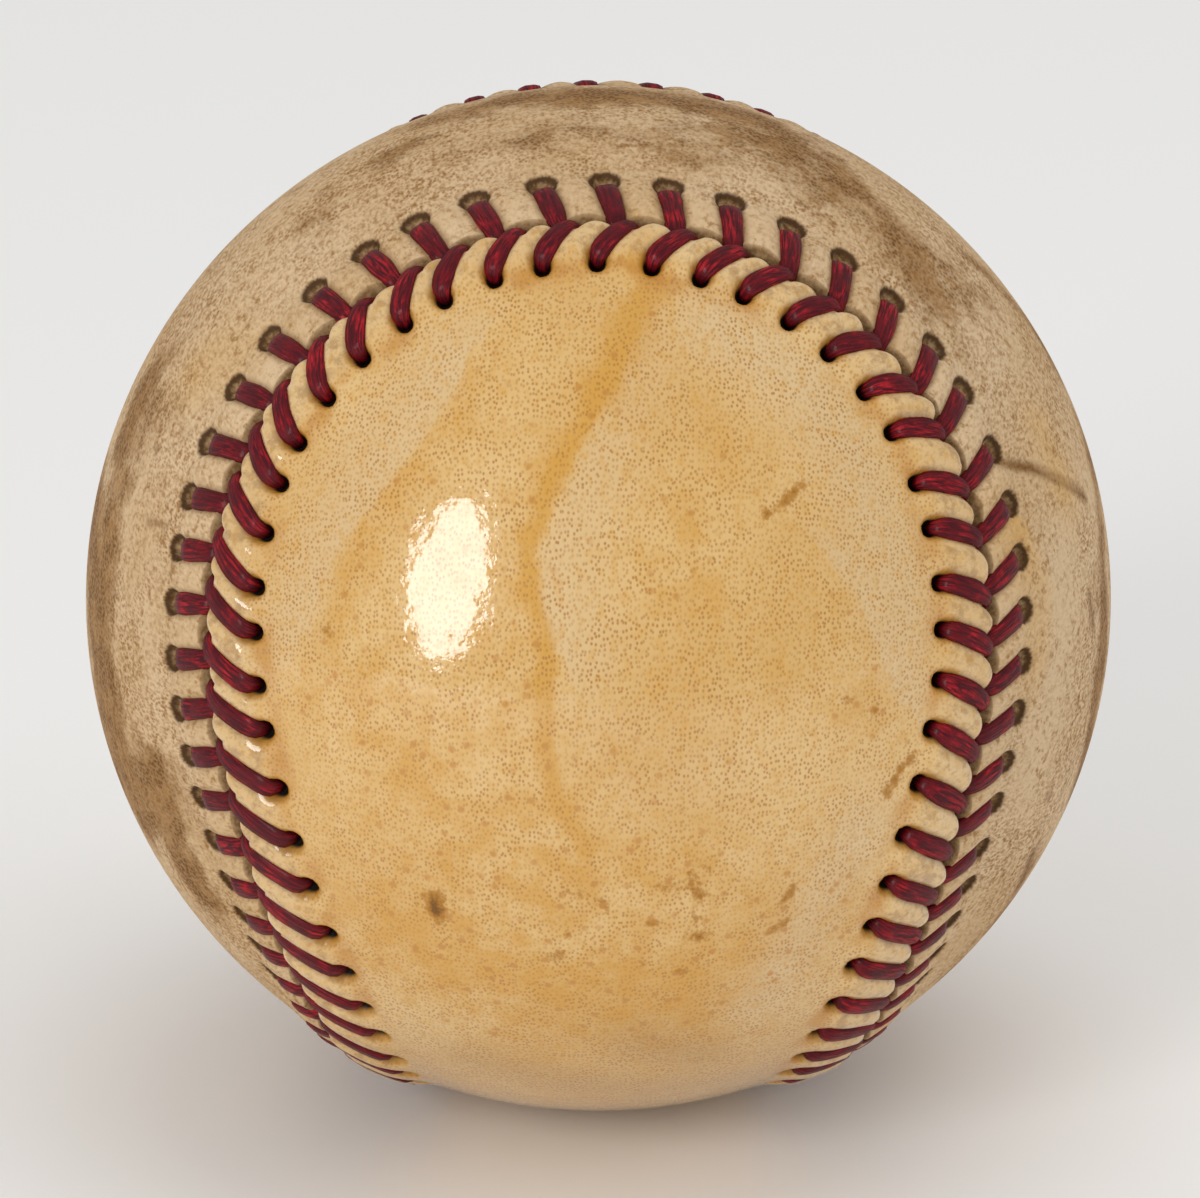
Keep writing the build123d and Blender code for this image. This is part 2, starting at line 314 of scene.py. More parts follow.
BROWN_STROKES = (
    ([(434, 900), (437, 910)], 0.90, 0.88),
    ([(437, 910), (437, 923)], 0.50, 0.6),
    ([(424, 893), (428, 897)], 0.35, 0.5),
    ([(664, 886), (677, 890)], 0.70, 0.40),
    ([(689, 873), (695, 884), (701, 896)], 0.55, 0.55),
    ([(707, 866), (708, 868)], 0.35, 0.45),
    ([(694, 916), (698, 921)], 0.35, 0.50),
    ([(795, 887), (781, 904)], 0.40, 0.65),
    ([(771, 929), (789, 920)], 0.45, 0.6),
    ([(558, 957), (560, 955)], 0.55, 0.6),
    ([(568, 936), (569, 935)], 0.30, 0.5),
    ([(650, 920), (655, 922)], 0.35, 0.6),
    ([(690, 936), (706, 936)], 0.40, 0.75),
    ([(679, 971), (680, 972)], 0.45, 0.75),
    ([(640, 965), (641, 966)], 0.35, 0.6),
    ([(566, 889), (588, 898), (610, 907)], 0.35, 0.40),
    ([(605, 906), (607, 907)], 0.45, 0.50),
    ([(325, 632), (326, 630)], 0.55, 0.5),
    ([(798, 487), (775, 508), (765, 517)], 0.45, 0.6),
    ([(848, 701), (850, 700)], 0.35, 0.5),
    ([(872, 713), (877, 712)], 0.28, 0.7),
    ([(914, 752), (902, 768), (886, 795)], 0.45, 0.55),
    ([(985, 462), (1030, 468), (1085, 497)], 0.42, 0.95),
    ([(1090, 600), (1093, 625)], 0.60, 0.6),
    ([(1032, 855), (1018, 888)], 0.80, 0.8),
    ([(1048, 795), (1049, 797)], 0.40, 0.6),
    ([(148, 521), (168, 526)], 0.25, 0.5),
    ([(158, 449), (156, 447)], 0.35, 0.6),
)
# These strokes paint dirt and also painted shade along the ball's edge as seen from the camera
DIRT_AND_EDGE_SHADE_STROKES = (
    ([(97, 540), (100, 640), (116, 740), (136, 800)], 4.0, 6.0, 1.15),
    ([(150, 770), (175, 840), (210, 900)], 3.0, 3.6, 0.9),
    ([(138, 410), (112, 500), (102, 590)], 3.7, 1.0),
    ([(440, 118), (520, 100), (640, 96), (760, 120)], 3.6, 1.0),
    ([(470, 150), (560, 135), (680, 145), (760, 165)], 2.6, 0.45),
    ([(310, 215), (350, 175), (420, 140)], 2.2, 0.50),
    ([(780, 145), (855, 200), (925, 265)], 5.5, 0.85),
    ([(960, 250), (1040, 340), (1090, 460)], 2.2, 1.4, 0.55),
    ([(180, 300), (220, 250), (280, 200)], 1.8, 2.6, 0.50),
    ([(640, 1045), (700, 1055)], 3.0, 0.45),
    ([(480, 1060), (600, 1085), (720, 1080)], 3.0, 0.40),
    ([(1030, 870), (990, 930), (950, 975)], 2.2, 0.70),
    ([(1085, 440), (1102, 560), (1098, 680), (1070, 800)], 2.6, 2.2, 1.05),
)
STAINS = {"amber": AMBER_STROKES, "pale": PALE_STROKES, "brown": BROWN_STROKES, "dirt_and_edge_shade": DIRT_AND_EDGE_SHADE_STROKES}


def camera_axes():
    """Camera's place, and its directions right, up and forward."""
    back = np.array([0, -cos(CAMERA_ELEVATION), sin(CAMERA_ELEVATION)])
    right = np.array([1.0, 0, 0])
    return back * CAMERA_DISTANCE, right, np.cross(back, right), -back


def pixel_on_ball(pixels):
    """Points of the plain ball that lie under pixels of the photograph."""
    place, right, up, forward = camera_axes()
    spread = tan(asin(BALL_RADIUS / CAMERA_DISTANCE)) / PHOTO_RADIUS
    across = (np.array(pixels, float) - PHOTO_CENTRE) * spread
    rays = unit(forward + across[:, :1] * right - across[:, 1:] * up)
    half = rays @ place
    root = np.sqrt(np.maximum(half**2 - place @ place + BALL_RADIUS**2, 0))
    return place + rays * (-half - root)[:, None]


def stroke_field(points, strokes):
    """Strength of the strokes at points of the ball, soft towards their borders."""
    field = np.zeros(len(points))
    for pixels, *half_widths, strength in strokes:
        left_width, right_width = half_widths[0], half_widths[-1]
        path = pixel_on_ball(pixels)
        nearest = np.full(len(points), np.inf)
        width = np.full(len(points), right_width)
        for start, end in zip(path, path[1:]):
            along = end - start
            share = np.clip((points - start) @ along / (along @ along), 0, 1)
            gap = np.linalg.norm(points - start - share[:, None] * along, axis=1)
            on_left = (points - start) @ np.cross(start, along) > 0
            width = np.where(gap < nearest, np.where(on_left, left_width, right_width), width)
            nearest = np.minimum(nearest, gap)
        field = np.maximum(field, strength * np.exp(-((nearest / MM / width) ** 2)))
    return field


# Covers: rows of points along the seam for the stitched band, in columns that are shares of a stitch
COLUMNS = 16
COLUMN_PLACES = np.arange(STITCHES * COLUMNS) / COLUMNS
BAND_ROWS = 28
ROW_CROWDING = 1.15

# Edges: the lower cover's rolls over in turns that are shares of a right angle, and the upper cover's
# is cut in steps of way out, drop and share of raw leather; both end at a foot and go back as a lining
ROLL_TURNS = (0.3, 0.55, 0.8, 1.0)
ROLL_DROP = 0.85
CUT_STEPS = ((0.12, 0.05, 0.48), (0.40, 0.32, 1.0), (0.75, 0.68, 1.0), (1.0, 0.95, 1.0))
FOOT_HEIGHT = {"lower": -0.55, "upper": -0.6}
FOOT_SETBACK = 0.1
LINING_DEPTHS = (1.6, 3.5, 6.0, BAND_DEPTH)
LINING_GAP = 0.03
UNDERSIDE_HEIGHT = -0.4

# Dirt and painted contact shade beside a leg: its half width, and the depths from the leg's end at which
# it fades
LEG_DIRT_AND_SHADE_HALF_WIDTH = 1.15
LEG_DIRT_AND_SHADE_FADE = (-0.2, 0.5)
FAR_FROM_HOLES = 9.0

# Broad panel and lining: nets of points with these steps, a share of a step away from the band's rim
PANEL_STEP = 0.5 * MM
LINING_STEP = 3.5 * MM
NET_FULLNESS = 0.95
RIM_GAP = 0.8
NET_BATCH = 2000


def band_rows(cover):
    """Rows of the band from the panel to the edge and back under it: depth, height and raw leather."""
    stitch = COLUMN_PLACES
    edge = edge_depth(cover, stitch)
    rolled = edge + EDGE_ROLL[cover]
    rows = []
    for share in np.linspace(1, 0, BAND_ROWS) ** ROW_CROWDING:
        depth = rolled + share * (BAND_DEPTH - rolled)
        hole = HOLE_DEPTH[cover] * np.exp(-(hole_nearness(cover, stitch, depth) ** 4))
        rows.append((depth, leather_height(cover, stitch, depth) - hole, 0.0))
    top = leather_height(cover, stitch, rolled)
    if cover == "lower":
        for turn in ROLL_TURNS:
            angle = turn * pi / 2
            rows.append((rolled - EDGE_ROLL[cover] * sin(angle), top - ROLL_DROP * (1 - cos(angle)), 0.0))
    else:
        for share, drop, raw in CUT_STEPS:
            rows.append((rolled - EDGE_ROLL[cover] * share, top - drop, raw))
    rows.append((edge + FOOT_SETBACK, np.full_like(stitch, FOOT_HEIGHT[cover]), 1.0))
    lining = (CEMENT_RADIUS - BALL_RADIUS) / MM + LINING_GAP
    for depth in LINING_DEPTHS:
        rows.append((np.full_like(stitch, depth), np.full_like(stitch, lining), 1.0))
    return rows


def cover_band(cover):
    """A cover's band: points row by row, faces, and fields of depth, holes, raw leather and legs."""
    columns = len(COLUMN_PLACES)
    points = []
    fields = {"depth": [], "hole": [], "raw": [], "leg": []}
    fade_start, fade_end = (HOLE_INSET[cover] + past_end for past_end in LEG_DIRT_AND_SHADE_FADE)
    for depth, height, raw in band_rows(cover):
        offset = seam_offset(cover, COLUMN_PLACES, depth)
        points.append(on_ball(COLUMN_PLACES, offset, BALL_RADIUS + height * MM))
        underside = float(height.max() < UNDERSIDE_HEIGHT)
        away, _ = from_leg(cover, COLUMN_PLACES, depth)
        over_lip = 1 - smooth_step(fade_start, fade_end, depth)
        fields["depth"].append(np.clip(depth / BAND_DEPTH, 0, 1))
        fields["hole"].append(hole_nearness(cover, COLUMN_PLACES, depth) + FAR_FROM_HOLES * underside)
        fields["raw"].append(np.full(columns, raw))
        # Share of dirt and painted contact shade beside each leg
        fields["leg"].append(np.exp(-((away / LEG_DIRT_AND_SHADE_HALF_WIDTH) ** 2)) * over_lip)

    faces = []
    for row in range(len(points) - 1):
        for column in range(columns):
            here = row * columns + column
            following = row * columns + (column + 1) % columns
            faces.append((here, following, following + columns, here + columns))
    return points, faces, {field: np.concatenate(parts) for field, parts in fields.items()}


def panel_net(cover, rim, step):
    """Points and triangles of a net that fills one cover inside its rim, laid flat from the far neck."""
    count = int(4 * pi * BALL_RADIUS**2 / (step**2 * NET_FULLNESS))
    order = np.arange(count) + 0.5
    level = 1 - 2 * order / count
    around = pi * (1 + sqrt(5)) * order
    ring = np.sqrt(1 - level**2)
    spread = np.stack([ring * np.cos(around), ring * np.sin(around), level], axis=1)

    def flatten(points):
        height = points[:, 2] * SIDE[cover]
        return points[:, :2] / (1 - height)[:, None]

    # Points inside the rim and not too near it are kept, some at a time
    rim_directions = unit(rim)
    close = 2 * sin(0.5 * RIM_GAP * step / BALL_RADIUS)
    _, aside = seam_frames(COLUMN_PLACES)
    keep = np.zeros(count, bool)
    for begin in range(0, count, NET_BATCH):
        some = spread[begin:begin + NET_BATCH]
        nearest = np.argmax(some @ rim_directions.T, axis=1)
        from_rim = some - rim_directions[nearest]
        inside = np.einsum("ij,ij->i", from_rim, aside[nearest]) * SIDE[cover] > 0
        keep[begin:begin + NET_BATCH] = inside & (np.linalg.norm(from_rim, axis=1) > close)
    inner = spread[keep]
    flat = np.concatenate([flatten(rim_directions), flatten(inner)])
    rim_edges = [(corner, (corner + 1) % len(rim)) for corner in range(len(rim))]
    rim_face = [list(range(len(rim)))]
    net = delaunay_2d_cdt([Vector(point) for point in flat], rim_edges, rim_face, 1, 1e-7)
    _, _, net_faces, sources, _, _ = net
    origins = [group[0] for group in sources]
    return inner, [[origins[corner] for corner in face] for face in net_faces]


def make_piece(name, vertices, faces, attributes):
    """Mesh object at the origin with smooth faces and one float attribute for each field."""
    mesh = bpy.data.meshes.new(name)
    mesh.from_pydata(vertices.tolist(), [], faces)
    for field, values in attributes.items():
        layer = mesh.attributes.new(field, "FLOAT", "POINT")
        layer.data.foreach_set("value", np.asarray(values, np.float32))
    mesh.validate()
    piece = bpy.data.objects.new(name, mesh)
    bpy.context.scene.collection.objects.link(piece)
    bpy.context.view_layer.objects.active = piece
    piece.select_set(True)
    bpy.ops.object.shade_smooth()
    bpy.ops.object.mode_set(mode="EDIT")
    bpy.ops.mesh.select_all(action="SELECT")
    bpy.ops.mesh.normals_make_consistent(inside=False)
    bpy.ops.object.mode_set(mode="OBJECT")
    piece.select_set(False)
    return piece


def lay_hide(piece, cover, vertices):
    """Give a cover its hide's coordinates in metres: round the ball along it, and across it."""
    length, width = (1, 0) if cover == "lower" else (0, 1)
    around = np.arctan2(vertices[:, length], -SIDE[cover] * vertices[:, 2])
    across = np.arcsin(unit(vertices)[:, width])
    hide = np.stack([around, across], axis=1) * BALL_RADIUS
    corners = np.zeros(len(piece.data.loops), int)
    piece.data.loops.foreach_get("vertex_index", corners)
    piece.data.uv_layers.new(name="hide").data.foreach_set("uv", hide[corners].ravel())


def make_cover(cover):
    """One leather cover as a closed shell: panel, band with lip and holes, cut edge and lining."""
    points, faces, values = cover_band(cover)
    columns = len(COLUMN_PLACES)
    vertices = np.concatenate(points)
    last_row = len(points) - 1
    panel = (0, PANEL_STEP, BALL_RADIUS, 0.0)
    lining = (last_row, LINING_STEP, np.linalg.norm(points[last_row][0]), 1.0)
    for row, step, radius, raw in (panel, lining):
        inner, triangles = panel_net(cover, points[row], step)
        on_rim = row * columns + np.arange(columns)
        index = np.concatenate([on_rim, len(vertices) + np.arange(len(inner))])
        faces += [tuple(index[corner] for corner in triangle) for triangle in triangles]
        vertices = np.concatenate([vertices, inner * radius])
        for field, value in (("depth", 1.0), ("hole", FAR_FROM_HOLES), ("raw", raw), ("leg", 0.0)):
            values[field] = np.concatenate([values[field], np.full(len(inner), value)])

    # Flat spots in the middle of the necks, where the ball lies
    vertices[:, 2] = np.clip(vertices[:, 2], -REST_HEIGHT, REST_HEIGHT)
    for field, strokes in STAINS.items():
        values[field] = stroke_field(vertices, strokes)
    piece = make_piece(f"{cover}_leather", vertices, faces, values)
    lay_hide(piece, cover, vertices)
    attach(piece, "root")
    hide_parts(f"{cover}_cover")
    return piece


# Thread: one flattened leg for each stitch, out of its hole, over the lip and down into the gap
THREAD_HALF_WIDTH = 0.80
THREAD_HALF_THICKNESS = 0.36
THREAD_ROUNDNESS = 0.8
RING_POINTS = 10
WOBBLE_SHARES = (0.02, 0.07)
WOBBLE_PER_MM = 2.4
THREAD_SEED = 7

# Rings of a leg: place as a share of the way to the hole, height over the leather, and share of the width
LEG_RINGS = {
    "lower": (
        (0.99, -1.0, 0.55), (0.985, -0.45, 0.68), (0.955, 0.02, 0.82), (0.886, 0.20, 0.93),
        (0.77, 0.27, 1.0), (0.625, 0.29, 1.04), (0.48, 0.29, 1.04), (0.33, 0.27, 1.0),
        (0.21, 0.24, 0.94), (0.136, 0.20, 0.86), (0.086, 0.12, 0.76), (0.045, -0.05, 0.64),
        (0.014, -0.40, 0.53), (0.0, -0.9, 0.45),
    ),
    "upper": (
        (0.99, -1.0, 0.74), (0.985, -0.45, 0.86), (0.955, 0.02, 0.95), (0.89, 0.18, 1.0),
        (0.775, 0.23, 1.02), (0.64, 0.24, 1.02), (0.50, 0.23, 1.0), (0.375, 0.21, 0.98),
        (0.26, 0.17, 0.95), (0.175, 0.11, 0.92), (0.10, 0.0, 0.88), (0.03, -0.20, 0.84),
        (-0.05, -0.52, 0.78), (-0.10, -0.95, 0.70),
    ),
}


def flattened(value):
    """Sine or cosine of a round section, made squarer."""
    return np.sign(value) * np.abs(value) ** THREAD_ROUNDNESS


def leg_mesh(cover, number, wobble):
    """Points of one thread leg, ring by ring."""
    share, lift, width = np.array(LEG_RINGS[cover]).T
    depth = share * HOLE_INSET[cover]
    stitch = np.full(len(depth), FIRST_STITCH[cover] + number)
    place = leg_place(cover, stitch, depth) + HOLE_JITTER[cover][number]
    height = leather_height(cover, place, np.maximum(depth, 0)) + lift
    middle = on_ball(place, seam_offset(cover, place, depth), BALL_RADIUS + height * MM)
    along = unit(np.gradient(middle, axis=0))
    across = unit(np.cross(along, unit(middle)))
    outward = np.cross(across, along)
    angle = np.arange(RING_POINTS) / RING_POINTS * 2 * pi
    amount, start = wobble
    width = THREAD_HALF_WIDTH * width * (1 + amount * np.sin(depth * WOBBLE_PER_MM + start))
    sideways = width[:, None] * flattened(np.cos(angle)) * MM
    upwards = THREAD_HALF_THICKNESS * flattened(np.sin(angle)) * MM
    rings = (middle[:, None, :] + across[:, None, :] * sideways[:, :, None]
             + outward[:, None, :] * upwards[None, :, None])
    return rings.reshape(-1, 3)


def leg_faces(number, rings):
    """Faces of one thread leg, and their corners' places along the thread and round it."""
    first = number * rings * RING_POINTS
    faces, places = [], []
    for ring in range(rings - 1):
        near, far = number + ring / rings, number + (ring + 1) / rings
        low, high = first + ring * RING_POINTS, first + (ring + 1) * RING_POINTS
        for point in range(RING_POINTS):
            following = (point + 1) % RING_POINTS
            begin, end = point / RING_POINTS, (point + 1) / RING_POINTS
            faces.append((low + point, high + point, high + following, low + following))
            places.append(((near, begin), (far, begin), (far, end), (near, end)))
    for ring in (0, rings - 1):
        faces.append(tuple(first + ring * RING_POINTS + point for point in range(RING_POINTS)))
        places.append(((number, 0),) * RING_POINTS)
    return faces, places


def make_thread(parity):
    """One thread: the legs of every other hole in each cover."""
    wobbles = np.random.default_rng(THREAD_SEED + parity)
    rings = len(LEG_RINGS["lower"])
    vertices, tones, faces, places = [], [], [], []
    for number in range(STITCHES):
        cover = "lower" if number % 2 == parity else "upper"
        wobble = (wobbles.uniform(*WOBBLE_SHARES), wobbles.uniform(0, 2 * pi))
        vertices.append(leg_mesh(cover, number, wobble))
        tones.append(np.full(rings * RING_POINTS, wobbles.uniform(0, 1)))
        new_faces, new_places = leg_faces(number, rings)
        faces += new_faces
        places += new_places
    name = f"thread_{parity + 1}"
    piece = make_piece(name, np.concatenate(vertices), faces, {"tone": np.concatenate(tones)})

    # Coordinates along and round the thread go by face and corner, as faces may have been turned over
    lay = piece.data.uv_layers.new(name="thread_lay")
    by_corner = {}
    for face, corners in zip(faces, places):
        for vertex, corner in zip(face, corners):
            by_corner[frozenset(face), vertex] = corner
    for polygon in piece.data.polygons:
        key = frozenset(polygon.vertices)
        for loop in polygon.loop_indices:
            lay.data[loop].uv = by_corner[key, piece.data.loops[loop].vertex_index]
    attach(piece, "root")
    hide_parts(f"stitch_thread_{parity + 1}")
    return piece


# Materials
def put(tree, node, values):
    """Set a node's inputs by name or number, or link them to other sockets."""
    for name, value in values.items():
        if isinstance(value, bpy.types.NodeSocket):
            tree.links.new(value, node.inputs[name])
        else:
            node.inputs[name].default_value = value


def new_finish(name, roughness, specular):
    """Material, its node tree and its Principled shader."""
    material = bpy.data.materials.new(name)
    material.use_nodes = True
    tree = material.node_tree
    shader = tree.nodes["Principled BSDF"]
    put(tree, shader, {"Roughness": roughness, "Specular IOR Level": specular})
    return material, tree, shader


def attribute(tree, name):
    """Float attribute of the mesh."""
    node = tree.nodes.new("ShaderNodeAttribute")
    node.attribute_name = name
    return node.outputs["Fac"]


def object_place(tree, turn=(0, 0, 0)):
    """Object coordinates, turned."""
    source = tree.nodes.new("ShaderNodeTexCoord")
    mapping = tree.nodes.new("ShaderNodeMapping")
    put(tree, mapping, {"Vector": source.outputs["Object"], "Rotation": turn})
    return mapping.outputs["Vector"]


def laid_place(tree, layer, stretch=(1, 1, 1)):
    """Coordinates laid flat on a hide or along a thread, stretched."""
    source = tree.nodes.new("ShaderNodeUVMap")
    source.uv_map = layer
    mapping = tree.nodes.new("ShaderNodeMapping")
    put(tree, mapping, {"Vector": source.outputs["UV"], "Scale": stretch})
    return mapping.outputs["Vector"]


def noise(tree, place, scale, detail=3.0, roughness=0.5, distortion=0.0):
    """Noise from zero to one, with a scale in features for each unit of the coordinates."""
    node = tree.nodes.new("ShaderNodeTexNoise")
    put(tree, node, {"Vector": place, "Scale": scale, "Detail": detail})
    put(tree, node, {"Roughness": roughness, "Distortion": distortion})
    return node.outputs["Fac"]


def cells(tree, place, scale, output="Distance", randomness=1.0, flat=False):
    """Cell pattern: the distance to the nearest cell's middle, or another output of it."""
    node = tree.nodes.new("ShaderNodeTexVoronoi")
    node.voronoi_dimensions = "2D" if flat else "3D"
    put(tree, node, {"Vector": place, "Scale": scale, "Randomness": randomness})
    return node.outputs[output]


def span(tree, value, low, high, to_low=0.0, to_high=1.0):
    """Value carried smoothly from one range to another, and held there."""
    node = tree.nodes.new("ShaderNodeMapRange")
    node.interpolation_type = "SMOOTHSTEP"
    put(tree, node, {"Value": value, "From Min": low, "From Max": high})
    put(tree, node, {"To Min": to_low, "To Max": to_high})
    return node.outputs["Result"]


def calculate(tree, operation, first, second):
    """Arithmetic on two values."""
    node = tree.nodes.new("ShaderNodeMath")
    node.operation = operation
    put(tree, node, {0: first, 1: second})
    return node.outputs["Value"]


def times(tree, first, second):
    """Product of two values."""
    return calculate(tree, "MULTIPLY", first, second)


def plus(tree, first, second):
    """Sum of two values."""
    return calculate(tree, "ADD", first, second)


def larger(tree, first, second):
    """The larger of two values."""
    return calculate(tree, "MAXIMUM", first, second)


def blend(tree, share, first, second, way="MIX"):
    """Two colours mixed by a share."""
    node = tree.nodes.new("ShaderNodeMix")
    node.data_type = "RGBA"
    node.blend_type = way
    put(tree, node, {"Factor": share, "A": first, "B": second})
    return node.outputs["Result"]


def relief(tree, height, strength, distance, below=None):
    """Bump from a height, on top of another bump."""
    node = tree.nodes.new("ShaderNodeBump")
    put(tree, node, {"Height": height, "Strength": strength, "Distance": distance})
    if below is not None:
        put(tree, node, {"Normal": below})
    return node.outputs["Normal"]


# Colours of the leather and the thread
CREAM = (0.72, 0.475, 0.19, 1)
PALE_CREAM = (0.67, 0.49, 0.27, 1)
AMBER = (0.61, 0.30, 0.025, 1)
HONEY = (0.65, 0.382, 0.112, 1)
PORE = (0.40, 0.17, 0.018, 1)
ORANGE_SPOT = (0.50, 0.21, 0.02, 1)
RUST_BROWN = (0.40, 0.17, 0.015, 1)
STAIN_BROWN = (0.16, 0.062, 0.008, 1)
GREY_CREAM = (0.575, 0.388, 0.205, 1)
SUEDE_FUZZ = (0.40, 0.265, 0.135, 1)
TAN_BROWN = (0.31, 0.152, 0.042, 1)
# Dark brown of old dirt, also used as painted shade along the ball's edge
DIRT_AND_SHADE_BROWN = (0.14, 0.062, 0.018, 1)
BONE = (0.68, 0.50, 0.31, 1)
FLECK_BROWN = (0.25, 0.112, 0.030, 1)
SUEDE = (0.22, 0.115, 0.042, 1)
RIM_BROWN = (0.06, 0.025, 0.008, 1)
STRAW = (0.61, 0.335, 0.075, 1)
HOLE_SHADE_BLACK = (0.012, 0.008, 0.006, 1)
CRIMSON = (0.165, 0.004, 0.009, 1)
BRIGHT_RED = (0.42, 0.013, 0.022, 1)
WINE = (0.06, 0.004, 0.008, 1)

# Layers inside: dark and light tones, the cork's grains to a metre, and the wave texture's own period
CORK_TONES = ((0.42, 0.25, 0.12, 1), (0.62, 0.42, 0.24, 1))
BLACK_RUBBER_TONES = ((0.012, 0.012, 0.012, 1), (0.04, 0.04, 0.042, 1))
RED_RUBBER_TONES = ((0.22, 0.02, 0.015, 1), (0.34, 0.05, 0.035, 1))
GREY_WOOL_TONES = ((0.12, 0.115, 0.11, 1), (0.38, 0.37, 0.36, 1))
WHITE_WOOL_TONES = ((0.45, 0.43, 0.39, 1), (0.80, 0.78, 0.72, 1))
WHITE_COTTON_TONES = ((0.55, 0.54, 0.50, 1), (0.86, 0.85, 0.82, 1))
CEMENT_TONES = ((0.62, 0.50, 0.30, 1), (0.74, 0.64, 0.45, 1))
CORK_GRAINS = 900
WAVE_PERIOD = 0.314


def front_leather():
    """Lower cover: cream leather gone glossy and amber, with pores, stains, pale lips and holes painted
    black as shade.
    """
    material, tree, shader = new_finish("front_leather", 0.45, 0.2)
    place = object_place(tree)
    cloud = noise(tree, place, 55, 4, 0.55)
    broad = noise(tree, place, 24, 3, 0.5, 0.6)
    fine = noise(tree, place, 420, 4, 0.6)
    colour = blend(tree, span(tree, cloud, 0.35, 0.68), CREAM, HONEY)

    # Amber stains have ragged borders, and pale places lie between them
    amber = plus(tree, attribute(tree, "amber"), span(tree, broad, 0.50, 0.74, 0.0, 0.3))
    ragged_amber = plus(tree, amber, span(tree, fine, 0.3, 0.7, -0.2, 0.2))
    colour = blend(tree, span(tree, ragged_amber, 0.10, 0.85, 0.0, 0.9), colour, AMBER)
    colour = blend(tree, attribute(tree, "pale"), colour, PALE_CREAM)

    # Lips are paler and smudged, and the leather just behind the holes is darker
    depth = attribute(tree, "depth")
    colour = blend(tree, span(tree, depth, 0.60, 0.34, 0.0, 0.42), colour, PALE_CREAM)
    smudge = span(tree, noise(tree, place, 750, 5, 0.65), 0.47, 0.64, 0.0, 0.55)
    speckle = span(tree, noise(tree, place, 2600, 2, 0.5), 0.52, 0.68, 0.0, 0.35)
    on_lip = span(tree, depth, 0.58, 0.42)
    colour = blend(tree, times(tree, smudge, on_lip), colour, TAN_BROWN)
    colour = blend(tree, times(tree, speckle, on_lip), colour, TAN_BROWN)
    behind = times(tree, span(tree, depth, 0.48, 0.60), span(tree, depth, 0.80, 0.64))
    behind = times(tree, behind, span(tree, noise(tree, place, 210, 3), 0.42, 0.64))
    colour = blend(tree, times(tree, behind, 0.8), colour, ORANGE_SPOT)

    # Pores lie close together, in rows drawn out along the hide
    rows = laid_place(tree, "hide", (0.72, 1.0, 1.0))
    pore = cells(tree, rows, 3300, randomness=0.8, flat=True)
    patchy = span(tree, noise(tree, place, 600, 3, 0.6), 0.32, 0.68, 0.30, 0.95)
    patchy = times(tree, patchy, span(tree, depth, 0.35, 0.60, 0.15, 1.0))
    pore_share = times(tree, span(tree, pore, 0.44, 0.10), patchy)
    colour = blend(tree, pore_share, colour, PORE)
    soft_grain = noise(tree, rows, 1300, 3, 0.6)
    colour = blend(tree, span(tree, soft_grain, 0.46, 0.70, 0.0, 0.38), colour, AMBER)

    # Brown stains, rust-coloured at their borders, and small specks
    blotch = span(tree, noise(tree, place, 1300, 4, 0.7), 0.3, 0.7, -0.3, 0.2)
    brown = plus(tree, attribute(tree, "brown"), blotch)
    colour = blend(tree, span(tree, brown, 0.10, 0.50, 0.0, 0.85), colour, RUST_BROWN)
    colour = blend(tree, span(tree, brown, 0.45, 0.95, 0.0, 0.9), colour, STAIN_BROWN)
    specks = span(tree, cells(tree, laid_place(tree, "hide"), 400, flat=True), 0.15, 0.05)
    specks = times(tree, specks, span(tree, ragged_amber, 0.10, 0.55, 0.05, 0.80))
    colour = blend(tree, specks, colour, ORANGE_SPOT)
    # Dirt, and painted shade along the ball's edge as seen from the camera
    colour = blend(tree, times(tree, attribute(tree, "dirt_and_edge_shade"), 0.5), colour, FLECK_BROWN)

    # Dirt and painted contact shade beside the threads, the raw edge, and the holes with rust round them
    # and painted shade in them
    leg = attribute(tree, "leg")
    colour = blend(tree, span(tree, leg, 0.26, 0.75, 0.0, 0.7), colour, STAIN_BROWN)
    colour = blend(tree, attribute(tree, "raw"), colour, SUEDE)
    hole = attribute(tree, "hole")
    colour = blend(tree, span(tree, hole, 1.9, 1.0, 0.0, 0.7), colour, RUST_BROWN)
    # Painted shade: the inside of each hole is painted near black
    colour = blend(tree, span(tree, hole, 1.10, 0.85), colour, HOLE_SHADE_BLACK)
    put(tree, shader, {"Base Color": colour})

    # A clear, faintly wavy gloss over leather with a fine grain
    soft_waves = relief(tree, noise(tree, place, 350, 2), 0.5, 0.00010)
    peel = relief(tree, noise(tree, place, 1500, 2), 0.5, 0.00004, soft_waves)
    normal = relief(tree, pore, 0.45, 0.00006, relief(tree, fine, 0.25, 0.00016))
    gloss = times(tree, span(tree, hole, 1.0, 2.0), span(tree, brown, 0.1, 0.6, 1.0, 0.2))
    put(tree, shader, {"Normal": normal, "Roughness": span(tree, cloud, 0.3, 0.7, 0.40, 0.55)})
    put(tree, shader, {"Coat Normal": peel, "Coat Weight": gloss})
    put(tree, shader, {"Coat IOR": 1.65, "Coat Roughness": 0.06})
    return material


